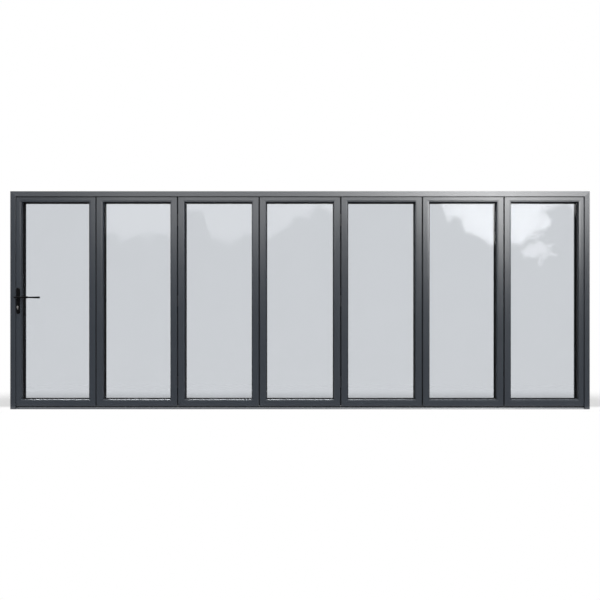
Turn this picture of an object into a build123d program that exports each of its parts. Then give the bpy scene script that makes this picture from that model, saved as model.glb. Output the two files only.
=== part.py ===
from build123d import *
import os

# Aluminium bifold door: an outer frame with a low threshold, one side-hung access leaf with
# lever handles at the left and six leaves that are hinged to each other and to the right jamb.
# Millimetres. X runs along the width, -Y is the side with the frame's flange, +Z is up.
# The origin is on the underside of the threshold, at mid width and mid depth.

# Outer frame
FRAME_WIDTH = 5590.0
FRAME_HEIGHT = 2104.0
FRAME_DEPTH = 80.0
FRAME_WEB = 30.0
FLANGE_FACE = 51.0
FLANGE_THICKNESS = 3.0
FLANGE_CHAMFER = 0.8
FLANGE_LEAN = 2.0
FIXING_HOLE_RADIUS = 4.0
FIXING_COUNT = 4
FIXING_END_INSET = 152.0
FIXING_BEHIND_TRACK = 20.0

# Gaps around the leaves
LEAF_COUNT = 7
LEAF_TO_FLANGE = 5.0
SEAM_GAP = 10.0
JAMB_GAP = 10.0
HEAD_GAP = 11.0
SILL_GAP = 9.2

# Threshold and tracks
THRESHOLD_HEIGHT = 19.0
THRESHOLD_NOSE_HEIGHT = 2.5
THRESHOLD_NOSE_RUN = 12.0
THRESHOLD_BROW_HEIGHT = 11.0
THRESHOLD_BROW_RUN = 3.5
TRACK_WIDTH = 18.0
TRACK_DEPTH = 13.0
TRACK_LINER = 1.5
RAIL_WIDTH = 4.0
RAIL_HEIGHT = 2.5
ROLLER_RADIUS = 5.0
ROLLER_WIDTH = 7.0
ROLLER_SPACING = 34.0
ROLLER_LIFT = 0.1
CARRIER_LENGTH = 52.0
CARRIER_WIDTH = 9.0
CARRIER_BASE_CLEARANCE = 2.0
GUIDE_ROLLER_RADIUS = 6.5
GUIDE_ROLLER_HEIGHT = 8.0
GUIDE_STEM_RADIUS = 4.0
GUIDE_TOP_CLEARANCE = 2.0

# Leaf profile: a body, a front leg over the glass edge and a bead behind the glass
LEAF_FACE = 60.0
LEAF_BODY = 45.0
LEG_DEPTH = 16.0
LEG_BEVEL = 0.8
LEG_SPLAY = 6.0
PROFILE_CHAMFER = 1.0
OUTER_CHAMFER = 2.0
MITRE_HAIRLINE = 0.2
BEAD_DEPTH = 20.0
BEAD_CHAMFER = 5.0
BEAD_MITRE_GAP = 0.3

# Glazing
PANE_THICKNESS = 4.0
CAVITY = 20.0
GLAZING_SEAL_THICKNESS = 4.0
GLAZING_SEAL_REVEAL = 3.0
GLAZING_SEAL_WIDTH = 9.0
GLASS_EDGE_CLEARANCE = 4.0
SPACER_WIDTH = 10.0

# Weather seals
FRAME_SEAL_WIDTH = 9.0
FRAME_SEAL_INSET = 1.0
HEAD_SEAL_DROP = 5.0
FRAME_SEAL_CLEARANCE = 0.5
FRAME_SEAL_END_GAP = 0.5
SILL_SEAL_WIDTH = 8.0
SILL_SEAL_CLEARANCE = 2.0
MEETING_SEAL_DEPTH = 16.0
ACCESS_SEAL_CLEARANCE = 5.5

# Hinges
HINGE_LENGTH = 110.0
HINGE_END_INSET = 230.0
HINGE_AXIS_OFFSET = 10.0
HINGE_BARREL_RADIUS = 8.0
HINGE_PIN_RADIUS = 4.0
HINGE_PIN_CLEARANCE = 0.05
HINGE_KNUCKLE_GAP = 0.5
HINGE_FLAP_WIDTH = 34.0
HINGE_FLAP_THICKNESS = 4.0
HINGE_FLAP_CLEARANCE = 1.0
JAMB_FLAP_MARGIN = 2.0
CONCEALED_HINGE_DEPTH = 10.0
CONCEALED_HINGE_INSET = 17.0
CONCEALED_HINGE_ROUND = 3.0

# Lever handles and lock on the access leaf
HANDLE_BACKSET = 35.0
HANDLE_HEIGHT = 1080.0
PLATE_WIDTH = 33.0
PLATE_ABOVE = 91.0
PLATE_BELOW = 159.0
PLATE_THICKNESS = 9.0
PLATE_EDGE_ROUND = 2.5
LEVER_LENGTH = 127.0
LEVER_HUB_RADIUS = 9.0
LEVER_WAIST_HEIGHT = 15.0
LEVER_WAIST_AT = 22.0
LEVER_TIP_HEIGHT = 20.0
LEVER_THICKNESS = 12.0
LEVER_EDGE_ROUND = 2.5
LEVER_TIP_ROUND = 6.0
LEVER_GAP = 36.0
NECK_RADIUS = 7.5
NECK_CLEARANCE = 0.08
NECK_SEAT = 6.0
SPINDLE_WIDTH = 8.0
SPINDLE_HOLE_RADIUS = 7.0
CYLINDER_DROP = 92.0
CYLINDER_RADIUS = 8.5
CYLINDER_STEM_WIDTH = 10.0
CYLINDER_TOTAL_HEIGHT = 33.0
CYLINDER_PROUD = 3.0
CYLINDER_CLEARANCE = 0.3
KEYWAY_WIDTH = 1.6
KEYWAY_HEIGHT = 9.0
KEYWAY_DEPTH = 6.0
FACEPLATE_WIDTH = 20.0
FACEPLATE_LENGTH = 1720.0
FACEPLATE_THICKNESS = 2.5
FACEPLATE_CLEARANCE = 0.2
LATCH_PROUD = 3.0
LATCH_LENGTH = 28.0
LATCH_WIDTH = 12.0
KEEP_WIDTH = 22.0
KEEP_LENGTH = 160.0
KEEP_THICKNESS = 2.0
KEEP_SPACING = 640.0

# Places that follow from the driving dimensions
HALF_WIDTH = FRAME_WIDTH / 2
FRONT = -FRAME_DEPTH / 2
BACK = FRAME_DEPTH / 2
FLANGE_BACK = FRONT + FLANGE_THICKNESS
LEAF_FRONT = FLANGE_BACK + LEAF_TO_FLANGE
LEAF_DEPTH = BACK - LEAF_FRONT
LEAF_MIDDLE = (LEAF_FRONT + BACK) / 2
OPENING_LEFT = -HALF_WIDTH + FRAME_WEB
OPENING_RIGHT = HALF_WIDTH - FRAME_WEB
OPENING_TOP = FRAME_HEIGHT - FRAME_WEB
LEAF_BOTTOM = THRESHOLD_HEIGHT + SILL_GAP
LEAF_TOP = OPENING_TOP - HEAD_GAP
LEAF_HEIGHT = LEAF_TOP - LEAF_BOTTOM
LEAVES_SPAN = OPENING_RIGHT - OPENING_LEFT - 2 * JAMB_GAP
LEAF_WIDTH = (LEAVES_SPAN - (LEAF_COUNT - 1) * SEAM_GAP) / LEAF_COUNT
LEAF_PITCH = LEAF_WIDTH + SEAM_GAP
TRACK_FLOOR = THRESHOLD_HEIGHT - TRACK_DEPTH
RAIL_TOP = TRACK_FLOOR + TRACK_LINER + RAIL_HEIGHT
LEAF_SIGHT = LEAF_FACE + LEG_SPLAY
GLASS_FRONT = LEAF_FRONT + LEG_DEPTH + GLAZING_SEAL_THICKNESS
GLASS_BACK = BACK - BEAD_DEPTH - GLAZING_SEAL_THICKNESS
GLASS_INSET = LEAF_BODY + GLASS_EDGE_CLEARANCE
HINGE_AXIS_Y = BACK + HINGE_AXIS_OFFSET
HINGE_HEIGHTS = (
    LEAF_BOTTOM + HINGE_END_INSET,
    (LEAF_BOTTOM + LEAF_TOP) / 2,
    LEAF_TOP - HINGE_END_INSET,
)
HANDLE_X = OPENING_LEFT + JAMB_GAP + HANDLE_BACKSET
CYLINDER_Z = HANDLE_HEIGHT - CYLINDER_DROP


def leaf_left(index):
    """X of the left edge of a leaf, counted from 1 at the left."""
    return OPENING_LEFT + JAMB_GAP + (index - 1) * LEAF_PITCH


def seam_middle(index):
    """X of the middle of the seam between a leaf and the next one to the right."""
    return leaf_left(index) + LEAF_WIDTH + SEAM_GAP / 2


def block(x0, x1, y0, y1, z0, z1):
    """Box between two opposite corners."""
    size = (x1 - x0, y1 - y0, z1 - z0)
    middle = ((x0 + x1) / 2, (y0 + y1) / 2, (z0 + z1) / 2)
    return Pos(*middle) * Box(*size)


def rod_along_y(x, z, radius, y0, y1):
    """Round rod between two depths."""
    return Pos(x, (y0 + y1) / 2, z) * Rot(90, 0, 0) * Cylinder(radius, abs(y1 - y0))


def rod_along_z(x, y, radius, z0, z1):
    """Upright round rod between two heights."""
    return Pos(x, y, (z0 + z1) / 2) * Cylinder(radius, z1 - z0)


def ring(x0, x1, y0, y1, z0, z1, width):
    """Rectangular ring that lies in the plane of a leaf."""
    outer = block(x0, x1, y0, y1, z0, z1)
    return outer - block(x0 + width, x1 - width, y0 - 1, y1 + 1, z0 + width, z1 - width)


def profile_bar(section, length, mitre_start=True, mitre_end=True, gap=0.0):
    """Bar along +Z with its section's outer edge on X = 0, mitred towards the inner edge."""
    face = make_face(Polyline(*section, close=True))
    bar = extrude(face, amount=length, dir=(0, 0, 1))
    if mitre_start:
        bar = split(bar, bisect_by=Plane(origin=(0, 0, gap), z_dir=(-1, 0, 1)), keep=Keep.TOP)
    if mitre_end:
        bar = split(bar, bisect_by=Plane(origin=(0, 0, length - gap), z_dir=(-1, 0, -1)), keep=Keep.TOP)
    return bar


def mitred_frame(section, x0, z0, width, height, y, gap):
    """Left, top, right and bottom bars of a rectangular frame of one section."""
    upright = profile_bar(section, height, gap=gap)
    level = profile_bar(section, width, gap=gap)
    return [
        Pos(x0, y, z0) * upright,
        Pos(x0, y, z0 + height) * Rot(0, 90, 0) * level,
        Pos(x0 + width, y, z0 + height) * Rot(0, 180, 0) * upright,
        Pos(x0 + width, y, z0) * Rot(0, 270, 0) * level,
    ]


def frame_section():
    """Web against the wall with a thin, slightly leaning flange in front, as (inward, depth) points."""
    c = FLANGE_CHAMFER
    return [
        (0, FLANGE_LEAN + c),
        (c, FLANGE_LEAN),
        (FLANGE_FACE - c, 0),
        (FLANGE_FACE, c),
        (FLANGE_FACE, FLANGE_THICKNESS),
        (FRAME_WEB, FLANGE_THICKNESS),
        (FRAME_WEB, FRAME_DEPTH),
        (0, FRAME_DEPTH),
    ]


def fixing_holes(side):
    """Screw holes through a jamb's web, evenly spaced up the jamb."""
    step = (FRAME_HEIGHT - 2 * FIXING_END_INSET) / (FIXING_COUNT - 1)
    x = side * (HALF_WIDTH - FRAME_WEB / 2)
    y = LEAF_MIDDLE + FIXING_BEHIND_TRACK
    hole = Rot(0, 90, 0) * Cylinder(FIXING_HOLE_RADIUS, 2 * FRAME_WEB)
    return [Pos(x, y, FIXING_END_INSET + step * row) * hole for row in range(FIXING_COUNT)]


def keep_heights():
    """Heights of the three lock keeps."""
    return [HANDLE_HEIGHT + KEEP_SPACING * row for row in (-1, 0, 1)]


def keep_plate(z, clearance):
    """Lock keep let into the left jamb's web, or the pocket for it."""
    half_width = KEEP_WIDTH / 2 + clearance
    half_length = KEEP_LENGTH / 2 + clearance
    x0 = OPENING_LEFT - KEEP_THICKNESS
    middle = LEAF_MIDDLE
    return block(x0, OPENING_LEFT, middle - half_width, middle + half_width, z - half_length, z + half_length)


def jamb_left():
    """Left jamb, mitred at the top, with fixing holes and pockets for the keeps."""
    bar = Pos(-HALF_WIDTH, FRONT, 0) * profile_bar(frame_section(), FRAME_HEIGHT, mitre_start=False)
    for hole in fixing_holes(-1):
        bar -= hole
    for z in keep_heights():
        bar -= keep_plate(z, FACEPLATE_CLEARANCE)
    return bar


def jamb_right():
    """Right jamb, mitred at the top, with fixing holes."""
    bar = profile_bar(frame_section(), FRAME_HEIGHT, mitre_end=False)
    bar = Pos(HALF_WIDTH, FRONT, FRAME_HEIGHT) * Rot(0, 180, 0) * bar
    for hole in fixing_holes(1):
        bar -= hole
    return bar


def track_groove(z0, z1):
    """Space of a track along the whole opening."""
    half = TRACK_WIDTH / 2
    return block(OPENING_LEFT, OPENING_RIGHT, LEAF_MIDDLE - half, LEAF_MIDDLE + half, z0, z1)


def head():
    """Head of the frame with the groove of the guide track in its underside."""
    bar = Pos(-HALF_WIDTH, FRONT, FRAME_HEIGHT) * Rot(0, 90, 0) * profile_bar(frame_section(), FRAME_WIDTH)
    return bar - track_groove(OPENING_TOP, OPENING_TOP + TRACK_DEPTH)


def threshold():
    """Low threshold with a nose of two slopes and an open track channel."""
    y0 = FLANGE_BACK
    section = [
        (y0, 0),
        (BACK, 0),
        (BACK, THRESHOLD_HEIGHT),
        (y0 + THRESHOLD_NOSE_RUN, THRESHOLD_HEIGHT),
        (y0 + THRESHOLD_BROW_RUN, THRESHOLD_BROW_HEIGHT),
        (y0, THRESHOLD_NOSE_HEIGHT),
    ]
    face = Plane.YZ * make_face(Polyline(*section, close=True))
    bar = Pos(OPENING_LEFT, 0, 0) * extrude(face, amount=OPENING_RIGHT - OPENING_LEFT, dir=(1, 0, 0))
    return bar - track_groove(TRACK_FLOOR, THRESHOLD_HEIGHT + 1)


def track_liner(floor, opens_up):
    """Channel liner with its floor on the bottom of a groove."""
    side = 1 if opens_up else -1
    z0, z1 = sorted((floor, floor + side * TRACK_DEPTH))
    inner0, inner1 = sorted((floor + side * TRACK_LINER, floor + side * (TRACK_DEPTH + 1)))
    half = TRACK_WIDTH / 2 - TRACK_LINER
    hollow = block(OPENING_LEFT - 1, OPENING_RIGHT + 1, LEAF_MIDDLE - half, LEAF_MIDDLE + half, inner0, inner1)
    return track_groove(z0, z1) - hollow


def bottom_track():
    """Stainless channel with a narrow rail that the rollers run on."""
    half = RAIL_WIDTH / 2
    floor = TRACK_FLOOR + TRACK_LINER / 2
    rail = block(OPENING_LEFT, OPENING_RIGHT, LEAF_MIDDLE - half, LEAF_MIDDLE + half, floor, RAIL_TOP)
    return track_liner(TRACK_FLOOR, True) + rail


def frame_seals():
    """Seal strips behind the flange, deeper at the head, and a brush on the threshold."""
    y1 = LEAF_FRONT - FRAME_SEAL_CLEARANCE
    outer = FLANGE_FACE - FRAME_SEAL_INSET - FRAME_SEAL_WIDTH
    inner = FLANGE_FACE - FRAME_SEAL_INSET
    top0 = FRAME_HEIGHT - inner - HEAD_SEAL_DROP
    top1 = FRAME_HEIGHT - outer
    x0 = HALF_WIDTH - inner
    x1 = HALF_WIDTH - outer
    upright_top = top0 - FRAME_SEAL_END_GAP
    sill0 = LEAF_FRONT + THRESHOLD_NOSE_RUN
    return [
        block(-x1, x1, FLANGE_BACK, y1, top0, top1),
        block(-x1, -x0, FLANGE_BACK, y1, LEAF_BOTTOM, upright_top),
        block(x0, x1, FLANGE_BACK, y1, LEAF_BOTTOM, upright_top),
        block(
            OPENING_LEFT,
            OPENING_RIGHT,
            sill0,
            sill0 + SILL_SEAL_WIDTH,
            THRESHOLD_HEIGHT,
            LEAF_BOTTOM - SILL_SEAL_CLEARANCE,
        ),
    ]


def leaf_section():
    """Leaf profile as (inward, depth) points: body, splayed front leg and open rebate."""
    c = PROFILE_CHAMFER
    return [
        (0, OUTER_CHAMFER),
        (OUTER_CHAMFER, 0),
        (LEAF_BODY, 0),
        (LEAF_FACE - c, LEG_BEVEL),
        (LEAF_FACE, LEG_BEVEL + c),
        (LEAF_SIGHT, LEG_DEPTH),
        (LEAF_BODY, LEG_DEPTH),
        (LEAF_BODY, LEAF_DEPTH),
        (c, LEAF_DEPTH),
        (0, LEAF_DEPTH - c),
    ]


def bead_section():
    """Back bead as (inward, depth) points from the leaf's outer edge."""
    start = LEAF_DEPTH - BEAD_DEPTH
    return [
        (LEAF_BODY, start),
        (LEAF_SIGHT, start),
        (LEAF_SIGHT, LEAF_DEPTH - BEAD_CHAMFER),
        (LEAF_SIGHT - BEAD_CHAMFER, LEAF_DEPTH),
        (LEAF_BODY, LEAF_DEPTH),
    ]


def euro_profile(clearance, y0, y1):
    """Lock cylinder of the common pear-shaped profile, or the hole for it."""
    radius = CYLINDER_RADIUS + clearance
    half = CYLINDER_STEM_WIDTH / 2 + clearance
    low = CYLINDER_Z + CYLINDER_RADIUS - CYLINDER_TOTAL_HEIGHT - clearance
    stem = block(HANDLE_X - half, HANDLE_X + half, y0, y1, low + half, CYLINDER_Z)
    foot = rod_along_y(HANDLE_X, low + half, half, y0, y1)
    return rod_along_y(HANDLE_X, CYLINDER_Z, radius, y0, y1) + stem + foot


def faceplate_strip(clearance):
    """Long lock faceplate in the edge of the access leaf, or the pocket for it."""
    half = FACEPLATE_WIDTH / 2 + clearance
    half_length = FACEPLATE_LENGTH / 2 + clearance
    x0 = leaf_left(1)
    middle = (LEAF_BOTTOM + LEAF_TOP) / 2
    return block(
        x0,
        x0 + FACEPLATE_THICKNESS,
        LEAF_MIDDLE - half,
        LEAF_MIDDLE + half,
        middle - half_length,
        middle + half_length,
    )


def leaf_frame(index):
    """Four mitred bars of one leaf; the access leaf's lock stile has its holes."""
    bars = mitred_frame(
        leaf_section(), leaf_left(index), LEAF_BOTTOM, LEAF_WIDTH, LEAF_HEIGHT, LEAF_FRONT, MITRE_HAIRLINE
    )
    if index == 1:
        stile = bars[0]
        stile -= rod_along_y(HANDLE_X, HANDLE_HEIGHT, SPINDLE_HOLE_RADIUS, LEAF_FRONT - 1, BACK + 1)
        stile -= euro_profile(CYLINDER_CLEARANCE, LEAF_FRONT - 1, BACK + 1)
        stile -= faceplate_strip(FACEPLATE_CLEARANCE)
        bars[0] = stile
    return bars


def leaf_beads(index):
    """Four glazing beads behind the glass."""
    return mitred_frame(
        bead_section(), leaf_left(index), LEAF_BOTTOM, LEAF_WIDTH, LEAF_HEIGHT, LEAF_FRONT, BEAD_MITRE_GAP
    )


def leaf_ring(index, inset, y0, y1, width):
    """Ring at an inset from a leaf's outline."""
    x0 = leaf_left(index) + inset
    x1 = leaf_left(index) + LEAF_WIDTH - inset
    return ring(x0, x1, y0, y1, LEAF_BOTTOM + inset, LEAF_TOP - inset, width)


def leaf_glass(index):
    """Front and back panes of one sealed unit."""
    x0 = leaf_left(index) + GLASS_INSET
    x1 = leaf_left(index) + LEAF_WIDTH - GLASS_INSET
    z0 = LEAF_BOTTOM + GLASS_INSET
    z1 = LEAF_TOP - GLASS_INSET
    return [
        block(x0, x1, GLASS_FRONT, GLASS_FRONT + PANE_THICKNESS, z0, z1),
        block(x0, x1, GLASS_BACK - PANE_THICKNESS, GLASS_BACK, z0, z1),
    ]


def leaf_spacer(index):
    """Spacer bar between the two panes."""
    y0 = GLASS_FRONT + PANE_THICKNESS
    y1 = GLASS_BACK - PANE_THICKNESS
    return leaf_ring(index, GLASS_INSET, y0, y1, SPACER_WIDTH)


def leaf_glazing_seals(index):
    """Seal rings in front of and behind the sealed unit."""
    inset = LEAF_SIGHT + GLAZING_SEAL_REVEAL - GLAZING_SEAL_WIDTH
    front0 = LEAF_FRONT + LEG_DEPTH
    return [
        leaf_ring(index, inset, front0, GLASS_FRONT, GLAZING_SEAL_WIDTH),
        leaf_ring(index, inset, GLASS_BACK, BACK - BEAD_DEPTH, GLAZING_SEAL_WIDTH),
    ]


def meeting_seals():
    """Upright seals in the seams between leaves and at the right jamb."""
    y0 = LEAF_MIDDLE - MEETING_SEAL_DEPTH / 2
    y1 = LEAF_MIDDLE + MEETING_SEAL_DEPTH / 2
    access = leaf_left(2) - SEAM_GAP + ACCESS_SEAL_CLEARANCE
    seals = [block(access, leaf_left(2), y0, y1, LEAF_BOTTOM, LEAF_TOP)]
    for index in range(2, LEAF_COUNT):
        x0 = leaf_left(index) + LEAF_WIDTH
        seals.append(block(x0, x0 + SEAM_GAP, y0, y1, LEAF_BOTTOM, LEAF_TOP))
    seals.append(block(OPENING_RIGHT - JAMB_GAP, OPENING_RIGHT, y0, y1, LEAF_BOTTOM, LEAF_TOP))
    return seals


def hinge_half(axis_x, side, middle_z, flap_width, has_pin):
    """One half of a back hinge: outer knuckles with the pin, or the middle knuckle with a bore."""
    half = HINGE_LENGTH / 2
    third = HINGE_LENGTH / 6
    flap_start = HINGE_BARREL_RADIUS + HINGE_FLAP_CLEARANCE
    flap0, flap1 = sorted((axis_x + side * flap_start, axis_x + side * (flap_start + flap_width)))
    lug0, lug1 = sorted((axis_x, axis_x + side * flap_start))
    lug_low = HINGE_AXIS_Y - HINGE_BARREL_RADIUS
    top = BACK + HINGE_FLAP_THICKNESS
    if has_pin:
        knuckles = [(-half, -third - HINGE_KNUCKLE_GAP), (third + HINGE_KNUCKLE_GAP, half)]
    else:
        knuckles = [(-third, third)]
    solid = block(flap0, flap1, BACK, top, middle_z - half, middle_z + half)
    for z0, z1 in knuckles:
        solid += rod_along_z(axis_x, HINGE_AXIS_Y, HINGE_BARREL_RADIUS, middle_z + z0, middle_z + z1)
        solid += block(lug0, lug1, lug_low, top, middle_z + z0, middle_z + z1)
    if has_pin:
        solid += rod_along_z(axis_x, HINGE_AXIS_Y, HINGE_PIN_RADIUS, middle_z - half, middle_z + half)
    else:
        bore = HINGE_PIN_RADIUS + HINGE_PIN_CLEARANCE
        solid -= rod_along_z(axis_x, HINGE_AXIS_Y, bore, middle_z - half, middle_z + half)
    return solid


def fold_hinges():
    """Back hinges between the folding leaves and at the right jamb."""
    halves = []
    for index in range(3, LEAF_COUNT, 2):
        for z in HINGE_HEIGHTS:
            halves.append(hinge_half(seam_middle(index), 1, z, HINGE_FLAP_WIDTH, True))
            halves.append(hinge_half(seam_middle(index), -1, z, HINGE_FLAP_WIDTH, False))
    jamb_axis = OPENING_RIGHT - JAMB_GAP / 2
    jamb_start = jamb_axis + HINGE_BARREL_RADIUS + HINGE_FLAP_CLEARANCE
    jamb_flap = HALF_WIDTH - JAMB_FLAP_MARGIN - jamb_start
    for z in HINGE_HEIGHTS:
        halves.append(hinge_half(jamb_axis, 1, z, jamb_flap, True))
        halves.append(hinge_half(jamb_axis, -1, z, HINGE_FLAP_WIDTH, False))
    return halves


def concealed_hinges():
    """Hinge blocks inside the seams that fold towards the flange side."""
    blocks = []
    y0 = LEAF_FRONT + CONCEALED_HINGE_INSET
    half = HINGE_LENGTH / 2
    for index in range(2, LEAF_COUNT, 2):
        x0 = leaf_left(index) + LEAF_WIDTH
        for z in HINGE_HEIGHTS:
            solid = block(x0, x0 + SEAM_GAP, y0, y0 + CONCEALED_HINGE_DEPTH, z - half, z + half)
            front_edges = solid.edges().filter_by(Axis.Z).sort_by(Axis.Y)[:2]
            blocks.append(fillet(front_edges, CONCEALED_HINGE_ROUND))
    return blocks


def carrier_positions():
    """X of the rollers, under the hinge stiles that travel along the track."""
    return [leaf_left(index) + LEAF_FACE / 2 for index in range(2, LEAF_COUNT, 2)]


def bottom_carriers():
    """Roller carriages between the leaves and the bottom rail."""
    carriers = []
    base = RAIL_TOP + CARRIER_BASE_CLEARANCE
    roller_z = RAIL_TOP + ROLLER_LIFT + ROLLER_RADIUS
    half_width = CARRIER_WIDTH / 2
    half_length = CARRIER_LENGTH / 2
    for x in carrier_positions():
        solid = block(
            x - half_length, x + half_length, LEAF_MIDDLE - half_width, LEAF_MIDDLE + half_width, base, LEAF_BOTTOM
        )
        for side in (-1, 1):
            roller_x = x + side * ROLLER_SPACING / 2
            y0 = LEAF_MIDDLE - ROLLER_WIDTH / 2
            solid += rod_along_y(roller_x, roller_z, ROLLER_RADIUS, y0, y0 + ROLLER_WIDTH)
        carriers.append(solid)
    return carriers


def top_guides():
    """Guide rollers on stems between the leaves and the head track."""
    guides = []
    roller_top = OPENING_TOP + TRACK_DEPTH - TRACK_LINER - GUIDE_TOP_CLEARANCE
    for x in carrier_positions():
        stem = rod_along_z(x, LEAF_MIDDLE, GUIDE_STEM_RADIUS, LEAF_TOP, roller_top)
        roller = rod_along_z(x, LEAF_MIDDLE, GUIDE_ROLLER_RADIUS, roller_top - GUIDE_ROLLER_HEIGHT, roller_top)
        guides.append(stem + roller)
    return guides


def handle_plate(face, side):
    """Long back plate with round ends, on the front (side -1) or back (side 1) of the leaf."""
    y0, y1 = sorted((face, face + side * PLATE_THICKNESS))
    radius = PLATE_WIDTH / 2
    low = HANDLE_HEIGHT - PLATE_BELOW + radius
    high = HANDLE_HEIGHT + PLATE_ABOVE - radius
    plate = block(HANDLE_X - radius, HANDLE_X + radius, y0, y1, low, high)
    for z in (low, high):
        plate += rod_along_y(HANDLE_X, z, radius, y0, y1)
    outer = plate.faces().sort_by(Axis.Y)[0 if side < 0 else -1]
    plate = fillet(outer.edges(), PLATE_EDGE_ROUND)
    plate -= rod_along_y(HANDLE_X, HANDLE_HEIGHT, NECK_RADIUS + NECK_CLEARANCE, y0 - 1, y1 + 1)
    return plate - euro_profile(CYLINDER_CLEARANCE, y0 - 1, y1 + 1)


def lever_grip():
    """Side outline of a lever in its own plane, with the spindle axis at the origin."""
    waist = LEVER_WAIST_HEIGHT / 2
    tip = LEVER_TIP_HEIGHT / 2
    outline = Polyline(
        (0, waist),
        (LEVER_WAIST_AT, waist),
        (LEVER_LENGTH, tip),
        (LEVER_LENGTH, -tip),
        (LEVER_WAIST_AT, -waist),
        (0, -waist),
        close=True,
    )
    blade = make_face(outline)
    corners = blade.vertices().group_by(Axis.X)[-1]
    return fillet(corners, LEVER_TIP_ROUND) + Circle(LEVER_HUB_RADIUS)


def lever(face, side):
    """Lever and neck that stand off the plate on one face of the leaf."""
    plate_face = face + side * PLATE_THICKNESS
    inner = plate_face + side * LEVER_GAP
    grip = extrude(lever_grip(), amount=LEVER_THICKNESS, dir=(0, 0, 1))
    flat_edges = grip.faces().filter_by(Axis.Z).edges()
    grip = fillet(flat_edges, LEVER_EDGE_ROUND)
    grip = Rot(90, 0, 0) * grip
    front = min(inner, inner + side * LEVER_THICKNESS)
    grip = Pos(HANDLE_X, front + LEVER_THICKNESS, HANDLE_HEIGHT) * grip
    seat = plate_face - side * NECK_SEAT
    overlap = inner + side * LEVER_THICKNESS / 2
    return grip + rod_along_y(HANDLE_X, HANDLE_HEIGHT, NECK_RADIUS, seat, overlap)


def spindle():
    """Square spindle between the two necks."""
    half = SPINDLE_WIDTH / 2
    y0 = LEAF_FRONT - PLATE_THICKNESS + NECK_SEAT
    y1 = BACK + PLATE_THICKNESS - NECK_SEAT
    return block(
        HANDLE_X - half, HANDLE_X + half, y0, y1, HANDLE_HEIGHT - half, HANDLE_HEIGHT + half
    )


def lock_cylinder():
    """Cylinder through the stile and both plates, with a keyway at each end."""
    y0 = LEAF_FRONT - PLATE_THICKNESS - CYLINDER_PROUD
    y1 = BACK + PLATE_THICKNESS + CYLINDER_PROUD
    solid = euro_profile(0, y0, y1)
    half = KEYWAY_WIDTH / 2
    low = CYLINDER_Z - KEYWAY_HEIGHT / 2
    high = CYLINDER_Z + KEYWAY_HEIGHT / 2
    solid -= block(HANDLE_X - half, HANDLE_X + half, y0 - 1, y0 + KEYWAY_DEPTH, low, high)
    return solid - block(HANDLE_X - half, HANDLE_X + half, y1 - KEYWAY_DEPTH, y1 + 1, low, high)


def lock_faceplate():
    """Faceplate strip with the nose of the latch."""
    x0 = leaf_left(1)
    half_width = LATCH_WIDTH / 2
    half_length = LATCH_LENGTH / 2
    latch = block(
        x0 - LATCH_PROUD,
        x0 + FACEPLATE_THICKNESS,
        LEAF_MIDDLE - half_width,
        LEAF_MIDDLE + half_width,
        HANDLE_HEIGHT - half_length,
        HANDLE_HEIGHT + half_length,
    )
    return faceplate_strip(0) + latch


def fixed_nodes():
    """Frame, tracks, seals and hardware that stay with the frame."""
    nodes = {
        "frame_head": [head()],
        "frame_jamb_left": [jamb_left()],
        "frame_jamb_right": [jamb_right()],
        "threshold": [threshold()],
        "bottom_track": [bottom_track()],
        "top_guide_track": [track_liner(OPENING_TOP + TRACK_DEPTH, False)],
        "frame_seals": frame_seals(),
        "meeting_seals": meeting_seals(),
        "fold_hinges": fold_hinges(),
        "concealed_hinges": concealed_hinges(),
        "bottom_carriers": bottom_carriers(),
        "top_guides": top_guides(),
        "lock_keeps": [keep_plate(z, 0) for z in keep_heights()],
    }
    folding = range(2, LEAF_COUNT + 1)
    nodes["glazing_seals"] = [seal for index in folding for seal in leaf_glazing_seals(index)]
    nodes["spacer_bars"] = [leaf_spacer(index) for index in folding]
    axis = seam_middle(1)
    nodes["traffic_hinge_fixed"] = [hinge_half(axis, 1, z, HINGE_FLAP_WIDTH, True) for z in HINGE_HEIGHTS]
    return nodes


def leaf_nodes():
    """Frame, glass and beads of every leaf."""
    nodes = {}
    for index in range(1, LEAF_COUNT + 1):
        nodes[f"leaf_{index}_frame"] = leaf_frame(index)
        nodes[f"leaf_{index}_glass"] = leaf_glass(index)
        nodes[f"leaf_{index}_beads"] = leaf_beads(index)
    return nodes


def access_leaf_nodes():
    """What only the access leaf carries."""
    axis = seam_middle(1)
    return {
        "leaf_1_glazing_seals": leaf_glazing_seals(1),
        "leaf_1_spacer": [leaf_spacer(1)],
        "traffic_hinge_moving": [hinge_half(axis, -1, z, HINGE_FLAP_WIDTH, False) for z in HINGE_HEIGHTS],
        "handle_plate_front": [handle_plate(LEAF_FRONT, -1)],
        "handle_plate_back": [handle_plate(BACK, 1)],
        "lever_front": [lever(LEAF_FRONT, -1) + spindle()],
        "lever_back": [lever(BACK, 1)],
        "lock_cylinder": [lock_cylinder()],
        "lock_faceplate": [lock_faceplate()],
    }


def write_parts():
    """One STEP file for each node."""
    os.makedirs("parts", exist_ok=True)
    for name, shapes in {**fixed_nodes(), **leaf_nodes(), **access_leaf_nodes()}.items():
        solids = [solid for shape in shapes for solid in shape.solids()]
        export_step(Compound(children=solids), f"parts/{name}.step")


write_parts()
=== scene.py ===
"""Finishes, small fittings and studio for the seven leaf aluminium bifold door."""

import logging
import math
from dataclasses import dataclass
from enum import Enum
from typing import ClassVar, Iterable, Sequence

import bmesh
import bpy
from mathutils import Matrix, Vector

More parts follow.
